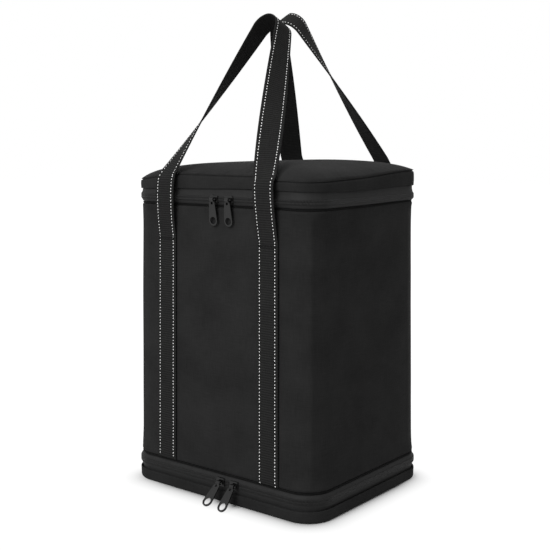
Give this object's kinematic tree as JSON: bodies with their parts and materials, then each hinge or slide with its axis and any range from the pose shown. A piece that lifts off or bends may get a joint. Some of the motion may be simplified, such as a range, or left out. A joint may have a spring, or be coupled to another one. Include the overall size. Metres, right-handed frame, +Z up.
{
  "type": "wine cooler bag",
  "caption": "Upright insulated bag with a zip-round padded lid, a shallow zip-open base, cells for wine bottles inside and twisted webbing carry handles.",
  "frame": {"origin": "middle of the base underside, on the floor", "axes": "+Z up, -Y the front face with the zip sliders, +X to the right seen from the front"},
  "size_m": [0.2884, 0.2822, 0.5869],
  "materials": {
    "black_polyester": "matte",
    "zip_tape": "matte",
    "zip_coil": "satin",
    "webbing": "matte",
    "foam": "matte",
    "foil_liner": "satin",
    "divider": "matte",
    "base_board": "matte",
    "slider_metal": "satin"
  },
  "bodies": {
    "body": {"body_sleeve": "black_polyester", "wall_foam": "foam", "body_floor": "black_polyester", "floor_foam": "foam", "inner_liner": "foil_liner", "divider_long": "divider", "divider_cross_left": "divider", "divider_cross_right": "divider", "top_zip_tape_lower": "zip_tape", "top_zip_coil_lower": "zip_coil", "lid_hinge_lower": "black_polyester", "base_zip_tape_upper": "zip_tape", "base_zip_coil_upper": "zip_coil", "base_hinge_upper": "black_polyester", "front_strap_left": "webbing", "front_strap_right": "webbing", "rear_strap_left": "webbing", "rear_strap_right": "webbing"},
    "lid": {"lid_cover": "black_polyester", "lid_foam": "foam", "lid_liner": "foil_liner", "top_zip_tape_upper": "zip_tape", "top_zip_coil_upper": "zip_coil", "lid_hinge_upper": "black_polyester"},
    "base": {"base_tray": "black_polyester", "base_board": "base_board", "base_zip_tape_lower": "zip_tape", "base_zip_coil_lower": "zip_coil", "base_hinge_lower": "black_polyester"},
    "front_risers": {"front_riser_left": "webbing", "front_riser_right": "webbing"},
    "front_loop": {"front_handle": "webbing"},
    "rear_risers": {"rear_riser_left": "webbing", "rear_riser_right": "webbing"},
    "rear_loop": {"rear_handle": "webbing"},
    "top_slider_left_body": {"top_slider_left": "slider_metal"},
    "top_pull_left_body": {"top_pull_left": "slider_metal"},
    "top_slider_right_body": {"top_slider_right": "slider_metal"},
    "top_pull_right_body": {"top_pull_right": "slider_metal"},
    "base_slider_left_body": {"base_slider_left": "slider_metal"},
    "base_pull_left_body": {"base_pull_left": "slider_metal"},
    "base_slider_right_body": {"base_slider_right": "slider_metal"},
    "base_pull_right_body": {"base_pull_right": "slider_metal"}
  },
  "joints": [
    {"name": "lid_open", "type": "hinge", "parent": "body", "child": "lid", "pos_m": [0, 0.1182, 0.3542], "axis": [-1, 0, 0], "range_deg": [0, 105]},
    {"name": "base_open", "type": "hinge", "parent": "body", "child": "base", "pos_m": [0, 0.1182, 0.0238], "axis": [1, 0, 0], "range_deg": [0, 100]},
    {"name": "front_riser_swing", "type": "hinge", "parent": "body", "child": "front_risers", "pos_m": [0, -0.1191, 0.308], "axis": [1, 0, 0], "range_deg": [0, 115.5]},
    {"name": "rear_riser_swing", "type": "hinge", "parent": "body", "child": "rear_risers", "pos_m": [0, 0.1191, 0.308], "axis": [-1, 0, 0], "range_deg": [0, 52.5]},
    {"name": "front_handle_fold", "type": "hinge", "parent": "front_risers", "child": "front_loop", "pos_m": [0, -0.12589, 0.37942], "axis": [1, 0, 0], "range_deg": [0, 90]},
    {"name": "rear_handle_fold", "type": "hinge", "parent": "rear_risers", "child": "rear_loop", "pos_m": [0, 0.13162, 0.39293], "axis": [-1, 0, 0], "range_deg": [0, 145]},
    {"name": "top_slider_left_run", "type": "slide", "parent": "body", "child": "top_slider_left_body", "axis": [-1, 0, 0], "range_m": [0, 0.046]},
    {"name": "top_pull_left_flip", "type": "hinge", "parent": "top_slider_left_body", "child": "top_pull_left_body", "pos_m": [-0.0012, -0.12213, 0.3542], "axis": [-1, 0, 0], "range_deg": [0, 150]},
    {"name": "top_slider_right_run", "type": "slide", "parent": "body", "child": "top_slider_right_body", "axis": [1, 0, 0], "range_m": [0, 0.031]},
    {"name": "top_pull_right_flip", "type": "hinge", "parent": "top_slider_right_body", "child": "top_pull_right_body", "pos_m": [0.0224, -0.12213, 0.3542], "axis": [-1, 0, 0], "range_deg": [0, 150]},
    {"name": "base_slider_left_run", "type": "slide", "parent": "body", "child": "base_slider_left_body", "axis": [-1, 0, 0], "range_m": [0, 0.108]},
    {"name": "base_pull_left_flip", "type": "hinge", "parent": "base_slider_left_body", "child": "base_pull_left_body", "pos_m": [0.0095, -0.12213, 0.0238], "axis": [-1, 0, 0], "range_deg": [-50, 60]},
    {"name": "base_slider_right_run", "type": "slide", "parent": "body", "child": "base_slider_right_body", "axis": [1, 0, 0], "range_m": [0, 0.068]},
    {"name": "base_pull_right_flip", "type": "hinge", "parent": "base_slider_right_body", "child": "base_pull_right_body", "pos_m": [0.0305, -0.12213, 0.0238], "axis": [-1, 0, 0], "range_deg": [-43, 67]}
  ],
  "couplings": [
    {"joint": "front_riser_swing", "follows": "lid_open", "ratio": 1.1},
    {"joint": "rear_riser_swing", "follows": "lid_open", "ratio": 0.5}
  ]
}
